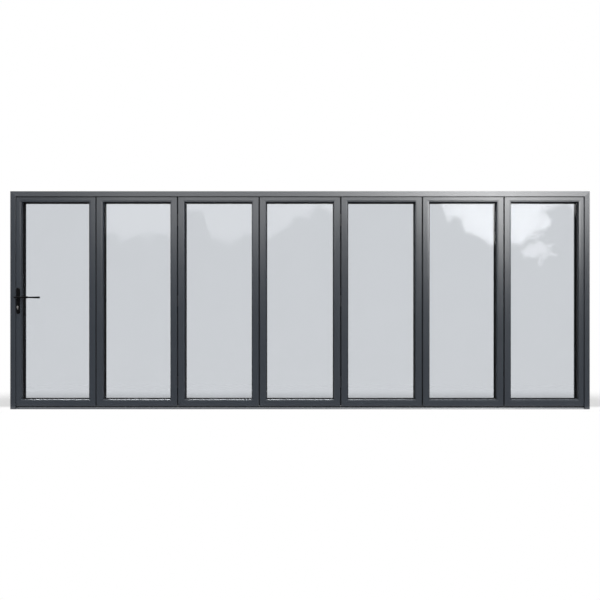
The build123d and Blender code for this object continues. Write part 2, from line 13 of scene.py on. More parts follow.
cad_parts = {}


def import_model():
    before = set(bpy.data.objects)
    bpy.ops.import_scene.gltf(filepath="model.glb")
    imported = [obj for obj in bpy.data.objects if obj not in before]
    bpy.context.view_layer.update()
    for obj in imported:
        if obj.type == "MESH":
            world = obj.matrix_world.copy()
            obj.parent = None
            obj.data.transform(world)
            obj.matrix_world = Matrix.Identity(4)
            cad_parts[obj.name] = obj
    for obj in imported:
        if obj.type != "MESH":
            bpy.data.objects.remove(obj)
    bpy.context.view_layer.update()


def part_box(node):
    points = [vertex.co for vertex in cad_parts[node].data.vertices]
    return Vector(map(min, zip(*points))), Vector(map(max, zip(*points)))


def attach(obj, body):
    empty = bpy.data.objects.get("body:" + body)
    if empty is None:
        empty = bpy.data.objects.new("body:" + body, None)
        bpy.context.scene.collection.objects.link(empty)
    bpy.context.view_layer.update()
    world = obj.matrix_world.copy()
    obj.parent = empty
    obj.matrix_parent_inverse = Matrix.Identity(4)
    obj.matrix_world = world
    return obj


LOG = logging.getLogger("bifold_door")

Colour = tuple[float, float, float]
Socket = bpy.types.NodeSocket
Value = float | Colour | Socket
Span = tuple[float, float]
Outline = Sequence[Span]


class Body(Enum):
    """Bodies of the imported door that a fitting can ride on."""

    FRAME = "frame"
    ACCESS_LEAF = "access_leaf"
    LEVER = "lever"


class Side(Enum):
    """Faces of a leaf, as the sign of the Y direction that they look in."""

    FRONT = -1.0
    BACK = 1.0


class Grain(Enum):
    """Ways that a drawn or brushed surface can run, as the stretch of its streaks."""

    ALONG_X = (0.015, 1.0, 1.0)
    ALONG_Z = (1.0, 1.0, 0.02)


class NodeGraph:
    """Short ways to add and join nodes in one node tree."""

    def __init__(self, tree: bpy.types.NodeTree) -> None:
        """Keeps the tree, emptied of the nodes that it started with.

        Args:
            tree: Node tree of a material, a world or a group.
        """
        self.tree = tree
        tree.nodes.clear()

    def add(
        self, kind: str, inputs: dict[str | int, Value] | None = None, **settings: object
    ) -> bpy.types.Node:
        """Adds a node.

        Args:
            kind: Blender's name for the type of node.
            inputs: What goes into its sockets, by their names or numbers.
            settings: Properties to set on the node.

        Returns:
            The new node.
        """
        node = self.tree.nodes.new(kind)
        for name, value in settings.items():
            setattr(node, name, value)
        for key, value in (inputs or {}).items():
            self.feed(node.inputs[key], value)
        return node

    def feed(self, socket: Socket, value: Value) -> None:
        """Links a socket into an input, or writes a constant on it.

        Args:
            socket: Input to fill.
            value: Output socket, number or colour.
        """
        if isinstance(value, bpy.types.NodeSocket):
            self.tree.links.new(value, socket)
        elif socket.type == "RGBA" and len(value) == 3:
            socket.default_value = (*value, 1.0)
        else:
            socket.default_value = value

    def math(self, operation: str, *values: Value, clamp: bool = False) -> Socket:
        """Result of a math operation on its inputs in order, held between 0 and 1 if asked for."""
        inputs = dict(enumerate(values))
        return self.add("ShaderNodeMath", inputs, operation=operation, use_clamp=clamp).outputs[0]

    def ramp(
        self, value: Value, low: float, high: float, out_low: Value = 0.0, out_high: Value = 1.0
    ) -> Socket:
        """Eases from one result to another while a value goes from low to high."""
        inputs = dict(enumerate((value, low, high, out_low, out_high)))
        return self.add("ShaderNodeMapRange", inputs, interpolation_type="SMOOTHSTEP").outputs[0]

    def mix_colour(self, share: Value, first: Value, second: Value) -> Socket:
        """Mixes two colours, by the share of the second."""
        return self.add("ShaderNodeMix", {0: share, 6: first, 7: second}, data_type="RGBA").outputs[2]

    def mix_value(self, share: Value, first: Value, second: Value) -> Socket:
        """Mixes two numbers, by the share of the second."""
        return self.add("ShaderNodeMix", {0: share, 2: first, 3: second}, data_type="FLOAT").outputs[0]

    def noise(self, place: Value, scale: Value, detail: float = 2.0) -> Socket:
        """Soft random pattern from 0 to 1, by its waves per metre and its number of finer layers."""
        inputs = {"Vector": place, "Scale": scale, "Detail": detail}
        return self.add("ShaderNodeTexNoise", inputs).outputs["Fac"]

    def swing(self, pattern: Socket) -> Socket:
        """Pattern that goes about 0 instead of about a half."""
        return self.math("SUBTRACT", pattern, 0.5)

    def scale(self, colour: Value, level: Value) -> Socket:
        """Makes a colour lighter or darker by a factor."""
        return self.add("ShaderNodeVectorMath", {0: colour, "Scale": level}, operation="SCALE").outputs[0]

    def split(self, vector: Socket) -> tuple[Socket, ...]:
        """X, y and z of a vector."""
        return tuple(self.add("ShaderNodeSeparateXYZ", {0: vector}).outputs)

    def surface_place(self) -> Socket:
        """Position on the piece itself, which turns with it."""
        return self.add("ShaderNodeTexCoord").outputs["Object"]

    def surface_normal(self) -> Socket:
        """Direction that the surface faces, in the piece's own axes."""
        return self.add("ShaderNodeTexCoord").outputs["Normal"]


class SocketKind(Enum):
    """Kinds of value that go into or come out of a shared effect."""

    COLOUR = "NodeSocketColor"
    NUMBER = "NodeSocketFloat"
    VECTOR = "NodeSocketVector"


class SurfaceEffects:
    """Node groups that more than one finish uses, each built once."""

    COAT = {"Colour": SocketKind.COLOUR, "Roughness": SocketKind.NUMBER}
    TEXTURE = {**COAT, "Height": SocketKind.NUMBER}
    SLOW_SCALE = 7.0
    PIMPLE_SHARE = 0.7
    PIMPLE_LAYERS = 3.0
    STREAK_LAYERS = 4.0
    DUST_SLOPE = (0.35, 0.95)
    DUST_PATCHES = (0.35, 0.7, 0.45, 1.0)
    DUST_SCALE = 40.0
    DUST_LAYERS = 5.0
    DUST_ROUGHNESS = 0.9

    def __init__(self) -> None:
        """Builds every shared effect."""
        self.coat_texture = self._coat_texture()
        self.drawn_grain = self._drawn_grain()
        self.settled_dust = self._settled_dust()

    @staticmethod
    def _open(
        name: str, inputs: dict[str, SocketKind], outputs: dict[str, SocketKind]
    ) -> tuple[bpy.types.NodeTree, NodeGraph, dict[str, Socket], dict[str, Socket]]:
        """Starts a group with named sockets.

        Args:
            name: Name of the group.
            inputs: Kinds of its inputs by name.
            outputs: Kinds of its outputs by name.

        Returns:
            The group, its graph, and its inputs and outputs by name.
        """
        tree = bpy.data.node_groups.new(name, "ShaderNodeTree")
        for way, sockets in (("INPUT", inputs), ("OUTPUT", outputs)):
            for label, kind in sockets.items():
                tree.interface.new_socket(label, in_out=way, socket_type=kind.value)
        graph = NodeGraph(tree)
        start = graph.add("NodeGroupInput")
        end = graph.add("NodeGroupOutput")
        given = {label: start.outputs[label] for label in inputs}
        wanted = {label: end.inputs[label] for label in outputs}
        return tree, graph, given, wanted

    def _coat_texture(self) -> bpy.types.NodeTree:
        """Fine pimples, speckle and slow shade changes of a baked or moulded coat.

        Returns:
            The group.
        """
        added = dict.fromkeys(("Pimple Scale", "Contrast", "Roughness Spread"), SocketKind.NUMBER)
        tree, graph, given, wanted = self._open("coat_texture", {**self.COAT, **added}, self.TEXTURE)
        place = graph.surface_place()
        pimples = graph.noise(place, given["Pimple Scale"], self.PIMPLE_LAYERS)
        slow = graph.noise(place, self.SLOW_SCALE)
        speckle = graph.mix_value(self.PIMPLE_SHARE, slow, pimples)
        swing = graph.math("MULTIPLY", graph.swing(speckle), given["Contrast"])
        graph.feed(wanted["Colour"], graph.scale(given["Colour"], graph.math("ADD", 1.0, swing)))
        drift = graph.math("MULTIPLY", graph.swing(slow), given["Roughness Spread"])
        graph.feed(wanted["Roughness"], graph.math("ADD", given["Roughness"], drift, clamp=True))
        graph.feed(wanted["Height"], pimples)
        return tree

    def _drawn_grain(self) -> bpy.types.NodeTree:
        """Long fine streaks of drawn or brushed metal.

        Returns:
            The group.
        """
        added = dict.fromkeys(("Streak Scale", "Contrast", "Roughness Spread"), SocketKind.NUMBER)
        inputs = {**self.COAT, "Stretch": SocketKind.VECTOR, **added}
        tree, graph, given, wanted = self._open("drawn_grain", inputs, self.TEXTURE)
        factors = {0: graph.surface_place(), 1: given["Stretch"]}
        stretched = graph.add("ShaderNodeVectorMath", factors, operation="MULTIPLY").outputs[0]
        streaks = graph.noise(stretched, given["Streak Scale"], self.STREAK_LAYERS)
        swing = graph.swing(streaks)
        level = graph.math("ADD", 1.0, graph.math("MULTIPLY", swing, given["Contrast"]))
        graph.feed(wanted["Colour"], graph.scale(given["Colour"], level))
        drift = graph.math("MULTIPLY", swing, given["Roughness Spread"])
        graph.feed(wanted["Roughness"], graph.math("ADD", given["Roughness"], drift, clamp=True))
        graph.feed(wanted["Height"], streaks)
        return tree

    def _settled_dust(self) -> bpy.types.NodeTree:
        """Thin pale dust on faces that look up.

        Returns:
            The group.
        """
        inputs = {**self.COAT, "Dust Colour": SocketKind.COLOUR, "Dust": SocketKind.NUMBER}
        tree, graph, given, wanted = self._open("settled_dust", inputs, self.COAT)
        up = graph.split(graph.surface_normal())[2]
        lying = graph.ramp(up, *self.DUST_SLOPE)
        clouds = graph.noise(graph.surface_place(), self.DUST_SCALE, self.DUST_LAYERS)
        patches = graph.ramp(clouds, *self.DUST_PATCHES)
        cover = graph.math("MULTIPLY", graph.math("MULTIPLY", lying, patches), given["Dust"])
        graph.feed(wanted["Colour"], graph.mix_colour(cover, given["Colour"], given["Dust Colour"]))
        graph.feed(wanted["Roughness"], graph.mix_value(cover, given["Roughness"], self.DUST_ROUGHNESS))
        return tree


class Finish:
    """Base of the finishes: opens a material with one Principled shader in it."""

    @staticmethod
    def open_material(name: str) -> tuple[bpy.types.Material, NodeGraph, bpy.types.Node]:
        """Starts a material.

        Args:
            name: Name of the finish.

        Returns:
            The material, its graph and its Principled shader.
        """
        material = bpy.data.materials.new(name)
        material.use_nodes = True
        graph = NodeGraph(material.node_tree)
        shader = graph.add("ShaderNodeBsdfPrincipled")
        graph.add("ShaderNodeOutputMaterial", {"Surface": shader.outputs[0]})
        return material, graph, shader

    def place_group(self, graph: NodeGraph, group: bpy.types.NodeTree, **given: Value) -> dict[str, Socket]:
        """Places a shared effect, whose inputs are the finish's own values of the same names.

        Args:
            graph: Graph of the material.
            group: The shared effect.
            given: Inputs that take something else.

        Returns:
            The outputs by name.
        """
        node = graph.add("ShaderNodeGroup", node_tree=group)
        for socket in node.inputs:
            name = socket.name.lower().replace(" ", "_")
            graph.feed(socket, given[name] if name in given else getattr(self, name))
        return {socket.name: socket for socket in node.outputs}

    @staticmethod
    def raise_surface(
        graph: NodeGraph, shader: bpy.types.Node, height: Socket, strength: float, depth: float
    ) -> None:
        """Lets a height pattern tilt the surface.

        Args:
            graph: Graph of the material.
            shader: Shader whose normal is tilted.
            height: Height pattern from 0 to 1.
            strength: Share of the pattern that counts.
            depth: Height of the pattern in metres.
        """
        bump = graph.add("ShaderNodeBump", {"Strength": strength, "Distance": depth, "Height": height})
        graph.feed(shader.inputs["Normal"], bump.outputs[0])


@dataclass(frozen=True)
class Coat(Finish):
    """Baked powder coat, satin lacquer, moulded plastic or rubber."""

    name: str
    colour: Colour
    roughness: float
    gloss: float = 0.5
    pimple_scale: float = 900.0
    contrast: float = 0.12
    roughness_spread: float = 0.06
    bump_depth: float = 0.00003
    bump_strength: float = 0.2
    dust: float = 0.05
    dust_colour: Colour = (0.34, 0.33, 0.31)

    def material(self, effects: SurfaceEffects) -> bpy.types.Material:
        """Makes the coat.

        Args:
            effects: The shared effects.

        Returns:
            The material.
        """
        material, graph, shader = self.open_material(self.name)
        texture = self.place_group(graph, effects.coat_texture)
        dusted = self.place_group(
            graph, effects.settled_dust, colour=texture["Colour"], roughness=texture["Roughness"]
        )
        graph.feed(shader.inputs["Base Color"], dusted["Colour"])
        graph.feed(shader.inputs["Roughness"], dusted["Roughness"])
        graph.feed(shader.inputs["Specular IOR Level"], self.gloss)
        self.raise_surface(graph, shader, texture["Height"], self.bump_strength, self.bump_depth)
        return material


@dataclass(frozen=True)
class DrawnMetal(Finish):
    """Bare metal with streaks that run one way."""

    name: str
    colour: Colour
    roughness: float
    grain: Grain
    streak_scale: float = 1500.0
    contrast: float = 0.25
    roughness_spread: float = 0.2
    bump_depth: float = 0.00002
    bump_strength: float = 0.3

    def material(self, effects: SurfaceEffects) -> bpy.types.Material:
        """Makes the metal.

        Args:
            effects: The shared effects.

        Returns:
            The material.
        """
        material, graph, shader = self.open_material(self.name)
        streaks = self.place_group(graph, effects.drawn_grain, stretch=self.grain.value)
        graph.feed(shader.inputs["Base Color"], streaks["Colour"])
        graph.feed(shader.inputs["Roughness"], streaks["Roughness"])
        graph.feed(shader.inputs["Metallic"], 1.0)
        self.raise_surface(graph, shader, streaks["Height"], self.bump_strength, self.bump_depth)
        return material


@dataclass(frozen=True)
class SpacerBar(Finish):
    """Matt black bar between two panes, with a row of breathing holes whose darker colour is painted shade
    for their hollows.
    """

    name: str
    colour: Colour = (0.012, 0.012, 0.014)
    hole_shade: Colour = (0.002, 0.002, 0.002)
    roughness: float = 0.6
    roughness_spread: float = 0.04
    contrast: float = 0.2
    pimple_scale: float = 900.0
    holes_per_metre: float = 140.0
    hole_share: float = 0.16
    row_middle: float = 0.002
    row_half_width: float = 0.0011
    hole_depth: float = 0.0004
    hole_strength: float = 0.6

    def material(self, effects: SurfaceEffects) -> bpy.types.Material:
        """Makes the bar.

        Args:
            effects: The shared effects.

        Returns:
            The material.
        """
        material, graph, shader = self.open_material(self.name)
        x, y, z = graph.split(graph.surface_place())
        step = graph.math("FRACT", graph.math("MULTIPLY", graph.math("ADD", x, z), self.holes_per_metre))
        off_middle = graph.math("ABSOLUTE", graph.swing(step))
        along = graph.math("LESS_THAN", off_middle, self.hole_share)
        aside = graph.math("ABSOLUTE", graph.math("SUBTRACT", y, self.row_middle))
        across = graph.math("LESS_THAN", aside, self.row_half_width)
        holes = graph.math("MULTIPLY", along, across)
        texture = self.place_group(graph, effects.coat_texture)
        # The holes get a darker colour, painted shade where their hollows are, and a bump for their depth.
        pierced = graph.mix_colour(holes, texture["Colour"], self.hole_shade)
        graph.feed(shader.inputs["Base Color"], pierced)
        graph.feed(shader.inputs["Roughness"], texture["Roughness"])
        height = graph.math("SUBTRACT", 1.0, holes)
        self.raise_surface(graph, shader, height, self.hole_strength, self.hole_depth)
        return material


@dataclass(frozen=True)
class PaneGlass(Finish):
    """Faintly grey float glass with deep green cut edges and a slight roller wave."""

    name: str
    face_colour: Colour
    edge_colour: Colour = (0.10, 0.26, 0.22)
    ior: float = 1.22
    tint_swing: float = 0.012
    wave_scale: float = 3.0
    wave_layers: float = 1.0
    wave_depth: float = 0.0002
    wave_strength: float = 0.06
    face_turn: Span = (0.3, 0.8)

    def material(self, effects: SurfaceEffects) -> bpy.types.Material:
        """Makes the glass.

        Args:
            effects: The shared effects, which glass does not use.

        Returns:
            The material.
        """
        material, graph, shader = self.open_material(self.name)
        place = graph.surface_place()
        wave = graph.noise(place, self.wave_scale, self.wave_layers)
        level = graph.math("MULTIPLY_ADD", graph.swing(wave), self.tint_swing, 1.0)
        tint = graph.scale(self.face_colour, level)
        facing = graph.math("ABSOLUTE", graph.split(graph.surface_normal())[1])
        is_face = graph.ramp(facing, *self.face_turn)
        graph.feed(shader.inputs["Base Color"], graph.mix_colour(is_face, self.edge_colour, tint))
        graph.feed(shader.inputs["Roughness"], 0.0)
        graph.feed(shader.inputs["IOR"], self.ior)
        graph.feed(shader.inputs["Transmission Weight"], 1.0)
        self.raise_surface(graph, shader, wave, self.wave_strength, self.wave_depth)
        return material


class FinishSet:
    """Every finish of the door, by the name of its slot in the record."""

    FINISHES: tuple[Coat | DrawnMetal | SpacerBar | PaneGlass, ...] = (
        Coat("frame_paint", (0.037, 0.044, 0.055), 0.25, 1.0, bump_strength=0.08),
        PaneGlass("glass", (0.785, 0.80, 0.82)),
        Coat("seal", (0.010, 0.010, 0.011), 0.75, 0.35, pimple_scale=1600.0, contrast=0.3, dust=0.08),
        SpacerBar("spacer"),
        DrawnMetal(
            "track_steel", (0.56, 0.56, 0.54), 0.38, Grain.ALONG_X, contrast=0.15, bump_depth=0.000004
        ),
        Coat("carrier", (0.016, 0.016, 0.018), 0.5, pimple_scale=1400.0, contrast=0.25),
        Coat("hinge_paint", (0.026, 0.028, 0.032), 0.4, 0.7),
        Coat(
            "handle_black", (0.003, 0.003, 0.0035), 0.3, 0.2, pimple_scale=1800.0, contrast=0.25, dust=0.01
        ),
        DrawnMetal("lock_metal", (0.72, 0.71, 0.70), 0.32, Grain.ALONG_Z),
    )

    def __init__(self) -> None:
        """Makes every material once."""
        effects = SurfaceEffects()
        self.materials = {finish.name: finish.material(effects) for finish in self.FINISHES}

    def dress(self, names: Iterable[str], slot: str) -> None:
        """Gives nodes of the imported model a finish.

        Args:
            names: Nodes to dress.
            slot: Slot whose finish they take.
        """
        for name in names:
            mesh = bpy.data.objects[name].data
            mesh.materials.clear()
            mesh.materials.append(self.materials[slot])
            LOG.info("dressed %s in %s", name, slot)


@dataclass(frozen=True)
class Seat:
    """Place of a small fitting: the point that it sits on and the way that it faces."""

    point: Vector
    facing: Vector
    turn: float = 0.0

    def matrix(self) -> Matrix:
        """Move and turn that take a fitting from the origin to its seat."""
        turned = Vector((0.0, 0.0, 1.0)).rotation_difference(self.facing).to_matrix().to_4x4()
        return Matrix.Translation(self.point) @ turned @ Matrix.Rotation(self.turn, 4, "Z")


class FittingShop:
    """Makes small turned fittings and sets of them as single pieces."""

    SEGMENTS = 28
    SHARP_ANGLE = math.radians(32.0)
    HEAD_RINGS = ((1.0, 0.0), (1.0, 0.35), (0.9, 0.8), (0.74, 1.0))
    PIT_TAPER = 0.92

    def __init__(self, finishes: FinishSet) -> None:
        """Keeps the finishes that fittings are made in.

        Args:
            finishes: Finishes by slot.
        """
        self.finishes = finishes

    @classmethod
    def circle(cls, mesh: bmesh.types.BMesh, radius: float, height: float) -> list[bmesh.types.BMVert]:
        """Adds a ring of points.

        Args:
            mesh: Mesh to add to.
            radius: Radius of the ring.
            height: Height of the ring.

        Returns:
            The points in order.
        """
        ring = []
        for index in range(cls.SEGMENTS):
            angle = 2.0 * math.pi * index / cls.SEGMENTS
            ring.append(mesh.verts.new((radius * math.cos(angle), radius * math.sin(angle), height)))
        return ring

    @staticmethod
    def wall(
        mesh: bmesh.types.BMesh, low: Sequence[bmesh.types.BMVert], high: Sequence[bmesh.types.BMVert]
    ) -> None:
        """Joins two loops that have as many points as each other.

        Args:
            mesh: Mesh to add to.
            low: First loop.
            high: Second loop.
        """
        count = len(low)
        for index in range(count):
            after = (index + 1) % count
            mesh.faces.new((low[index], low[after], high[after], high[index]))

    @classmethod
    def turned(cls, profile: Outline) -> bmesh.types.BMesh:
        """Turns a ring about the Z axis.

        Args:
            profile: Radius and height of each point of its section.

        Returns:
            The turned ring.
        """
        mesh = bmesh.new()
        rings = [cls.circle(mesh, radius, height) for radius, height in profile]
        for low, high in zip(rings, [*rings[1:], rings[0]]):
            cls.wall(mesh, low, high)
        bmesh.ops.recalc_face_normals(mesh, faces=mesh.faces[:])
        return mesh

    @classmethod
    def recessed_head(
        cls, radius: float, height: float, recess: Outline, floor: float
    ) -> bmesh.types.BMesh:
        """Makes a low screw or cap head with a sunk recess in its top.

        Args:
            radius: Radius of the head.
            height: Height of the head.
            recess: Outline of the recess.
            floor: Height of the bottom of the recess.

        Returns:
            The head, standing on the origin.
        """
        mesh = bmesh.new()
        rings = [cls.circle(mesh, wide * radius, tall * height) for wide, tall in cls.HEAD_RINGS]
        rim = [mesh.verts.new((x, y, height)) for x, y in recess]
        pit = [mesh.verts.new((cls.PIT_TAPER * x, cls.PIT_TAPER * y, floor)) for x, y in recess]
        for low, high in (*zip(rings, rings[1:]), (rim, pit)):
            cls.wall(mesh, low, high)
        mesh.faces.new(list(reversed(rings[0])))
        mesh.faces.new(pit)
        edges = []
        for loop in (rings[-1], rim):
            for first, second in zip(loop, [*loop[1:], loop[0]]):
                edges.append(mesh.edges.get((first, second)))
        bmesh.ops.triangle_fill(mesh, use_beauty=True, edges=edges)
        bmesh.ops.recalc_face_normals(mesh, faces=mesh.faces[:])
        return mesh

    @staticmethod
    def cross(arm: float, half_width: float) -> Outline:
        """Outline of a cross recess.

        Args:
            arm: Length of an arm from the middle.
            half_width: Half the width of an arm.

        Returns:
            The outline in order.
        """
        quarter = ((arm, -half_width), (arm, half_width), (half_width, half_width))
        outline = []
        for turn in range(4):
            cos, sin = round(math.cos(turn * math.pi / 2)), round(math.sin(turn * math.pi / 2))
            outline.extend((x * cos - y * sin, x * sin + y * cos) for x, y in quarter)
        return outline

    @staticmethod
    def slot(half_length: float, half_width: float) -> Outline:
        """Outline of a straight slot.

        Args:
            half_length: Half the length of the slot.
            half_width: Half its width.

        Returns:
            The outline in order.
        """
        corners = ((1, 1), (-1, 1), (-1, -1), (1, -1))
        return [(half_length * x, half_width * y) for x, y in corners]

    @staticmethod
    def hexagon(radius: float) -> Outline:
        """Outline of a hexagon socket.

        Args:
            radius: Distance from the middle to a corner.

        Returns:
            The outline in order.
        """
        angles = [math.pi / 3 * index for index in range(6)]
        return [(radius * math.cos(angle), radius * math.sin(angle)) for angle in angles]

    def set_out(
        self, name: str, template: bmesh.types.BMesh, seats: Sequence[Seat], body: Body, slot: str
    ) -> None:
        """Puts copies of a fitting on their seats as one piece that rides on a body.

        Args:
            name: Name of the piece.
            template: The fitting, standing on the origin.
            seats: Where the copies go.
            body: Body that the piece rides on.
            slot: Slot that it takes its finish from.
        """
        single = bpy.data.meshes.new(f"{name}_single")
        template.to_mesh(single)
        template.free()
        merged = bmesh.new()
        for seat in seats:
            before = len(merged.verts)
            merged.from_mesh(single)
            merged.verts.ensure_lookup_table()
            bmesh.ops.transform(merged, matrix=seat.matrix(), verts=merged.verts[before:])
        mesh = bpy.data.meshes.new(name)
        merged.to_mesh(mesh)
        merged.free()
        bpy.data.meshes.remove(single)
        mesh.polygons.foreach_set("use_smooth", [True] * len(mesh.polygons))
        mesh.set_sharp_from_angle(angle=self.SHARP_ANGLE)
        mesh.materials.append(self.finishes.materials[slot])
        piece = bpy.data.objects.new(name, mesh)
        bpy.context.scene.collection.objects.link(piece)
        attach(piece, body.value)
        LOG.info("made %s: %d of them on %s", name, len(seats), body.value)


@dataclass
class OuterFrame:
    """Head, jambs, threshold and their seals, with caps over the fixings."""

    shop: FittingShop
    fixing_count: int = 4
    fixing_inset: float = 0.152
    fixing_y: float = 0.024
    web: float = 0.030
    cap_radius: float = 0.007
    cap_height: float = 0.0016
    slot_half_length: float = 0.00315
    slot_half_width: float = 0.00063
    slot_floor: float = 0.00072

    def dress(self) -> None:
        """Gives the frame its paint and its seals their rubber."""
        painted = ("frame_head", "frame_jamb_left", "frame_jamb_right", "threshold")
        self.shop.finishes.dress(painted, "frame_paint")
        self.shop.finishes.dress(("frame_seals",), "seal")

    def build(self) -> None:
        """Covers each fixing hole in the jambs with a push-in cap."""
        low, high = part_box("frame_jamb_left")
        step = (high.z - 2.0 * self.fixing_inset) / (self.fixing_count - 1)
        seats = []
        for index in range(self.fixing_count):
            z = self.fixing_inset + index * step
            for inward in (1.0, -1.0):
                x = inward * (low.x + self.web)
                seats.append(Seat(Vector((x, self.fixing_y, z)), Vector((inward, 0.0, 0.0))))
        pry_slot = FittingShop.slot(self.slot_half_length, self.slot_half_width)
        cap = FittingShop.recessed_head(self.cap_radius, self.cap_height, pry_slot, self.slot_floor)
        self.shop.set_out("fixing_caps", cap, seats, Body.FRAME, "carrier")


@dataclass
class Leaves:
    """Seven glazed leaves: stiles and rails, beads, sealed units and their seals."""

    shop: FittingShop
    count: int = 7
    lip_thickness: float = 0.004
    lip_inset: float = 0.016
    swing_room: float = 0.0051
    lip_outline: tuple[Span, ...] = (
        (0.0, 0.0),
        (0.55, 0.05),
        (0.95, 0.25),
        (1.0, 0.45),
        (0.95, 0.65),
        (0.55, 0.9),
        (0.0, 1.0),
    )

    def dress(self) -> None:
        """Gives every leaf its paint, glass, seals and spacers."""
        finishes = self.shop.finishes
        numbers = range(1, self.count + 1)
        finishes.dress([f"leaf_{number}_frame" for number in numbers], "frame_paint")
        finishes.dress([f"leaf_{number}_beads" for number in numbers], "frame_paint")
        panes = [f"leaf_{number}_glass" for number in numbers]
        finishes.dress(panes, "glass")
        for name in panes:
            bpy.data.objects[name].visible_shadow = False
        finishes.dress(("glazing_seals", "leaf_1_glazing_seals", "meeting_seals"), "seal")
        finishes.dress(("spacer_bars", "leaf_1_spacer"), "spacer")

    def lip(self, reach: float) -> bmesh.types.BMesh:
        """Makes one upright rubber lip as tall as a leaf.

        Args:
            reach: How far the lip stands out of the leaf's edge.

        Returns:
            The lip, standing on the origin and reaching along +X, with its front on Y = 0.
        """
        outline = [(out * reach, across * self.lip_thickness) for out, across in self.lip_outline]
        low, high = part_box("leaf_1_frame")
        mesh = bmesh.new()
        foot = [mesh.verts.new((x, y, 0.0)) for x, y in outline]
        top = [mesh.verts.new((x, y, high.z - low.z)) for x, y in outline]
        FittingShop.wall(mesh, foot, top)
        mesh.faces.new(list(reversed(foot)))
        mesh.faces.new(top)
        bmesh.ops.recalc_face_normals(mesh, faces=mesh.faces[:])
        return mesh

    def build(self) -> None:
        """Puts rubber lips on the access leaf's hinge edge, clear of the leaf beside it."""
        low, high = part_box("leaf_1_frame")
        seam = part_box("leaf_2_frame")[0].x - high.x
        depths = (low.y + self.lip_inset, high.y - self.lip_inset)
        seats = [Seat(Vector((high.x, y, low.z)), Vector((0.0, 0.0, 1.0))) for y in depths]
        lip = self.lip(seam - self.swing_room)
        self.shop.set_out("access_leaf_lips", lip, seats, Body.ACCESS_LEAF, "seal")


@dataclass
class Hinges:
    """Back hinges, concealed hinges and the screws in their flaps."""

    shop: FittingShop
    traffic_seam: int = 1
    fold_seams: tuple[int, ...] = (3, 5)
    jamb_axis: float = 2.760
    end_inset: float = 0.230
    flap_middle: float = 0.026
    jamb_flap_middle: float = 0.021
    screw_offsets: tuple[float, ...] = (-0.038, 0.0, 0.038)
    screw_turn: float = 0.9
    column_turn: float = 5.0
    screw_radius: float = 0.0042
    screw_height: float = 0.0013
    recess_arm: float = 0.0021
    recess_half_width: float = 0.000546
    recess_floor: float = 0.00039
    flap_thickness: float = 0.004

    def dress(self) -> None:
        """Gives the hinges their satin coat."""
        names = ("fold_hinges", "concealed_hinges", "traffic_hinge_fixed", "traffic_hinge_moving")
        self.shop.finishes.dress(names, "hinge_paint")

    @staticmethod
    def axis(seam: int) -> float:
        """Middle of a seam, by the number of the leaf at its left."""
        return (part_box(f"leaf_{seam}_frame")[1].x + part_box(f"leaf_{seam + 1}_frame")[0].x) / 2.0

    def flap_seats(self, middle_x: float) -> list[Seat]:
        """Seats of the screws in one column of flaps.

        Args:
            middle_x: Middle of the flaps.

        Returns:
            The seats, each screw turned a little further than the one before.
        """
        low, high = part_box("leaf_2_frame")
        heights = (low.z + self.end_inset, (low.z + high.z) / 2.0, high.z - self.end_inset)
        seats = []
        for height in heights:
            for offset in self.screw_offsets:
                point = Vector((middle_x, high.y + self.flap_thickness, height + offset))
                turn = self.screw_turn * len(seats) + self.column_turn * middle_x
                seats.append(Seat(point, Vector((0.0, 1.0, 0.0)), turn))
        return seats

    def screw(self) -> bmesh.types.BMesh:
        """Makes one screw head with a cross recess."""
        recess = FittingShop.cross(self.recess_arm, self.recess_half_width)
        return FittingShop.recessed_head(self.screw_radius, self.screw_height, recess, self.recess_floor)

    def build(self) -> None:
        """Puts screws in every flap."""
        traffic_axis = self.axis(self.traffic_seam)
        fixed = self.flap_seats(traffic_axis + self.flap_middle)
        for seam in self.fold_seams:
            fixed.extend(self.flap_seats(self.axis(seam) - self.flap_middle))
            fixed.extend(self.flap_seats(self.axis(seam) + self.flap_middle))
        fixed.extend(self.flap_seats(self.jamb_axis - self.flap_middle))
        fixed.extend(self.flap_seats(self.jamb_axis + self.jamb_flap_middle))
        self.shop.set_out("hinge_screws", self.screw(), fixed, Body.FRAME, "hinge_paint")
        moving = self.flap_seats(traffic_axis - self.flap_middle)
        self.shop.set_out("traffic_hinge_screws", self.screw(), moving, Body.ACCESS_LEAF, "hinge_paint")


@dataclass
class RunningGear:
    """Tracks, roller carriers and top guides."""

    shop: FittingShop

    def dress(self) -> None:
        """Gives the tracks drawn steel and the carriers moulded plastic."""
        self.shop.finishes.dress(("bottom_track", "top_guide_track"), "track_steel")
        self.shop.finishes.dress(("bottom_carriers", "top_guides"), "carrier")


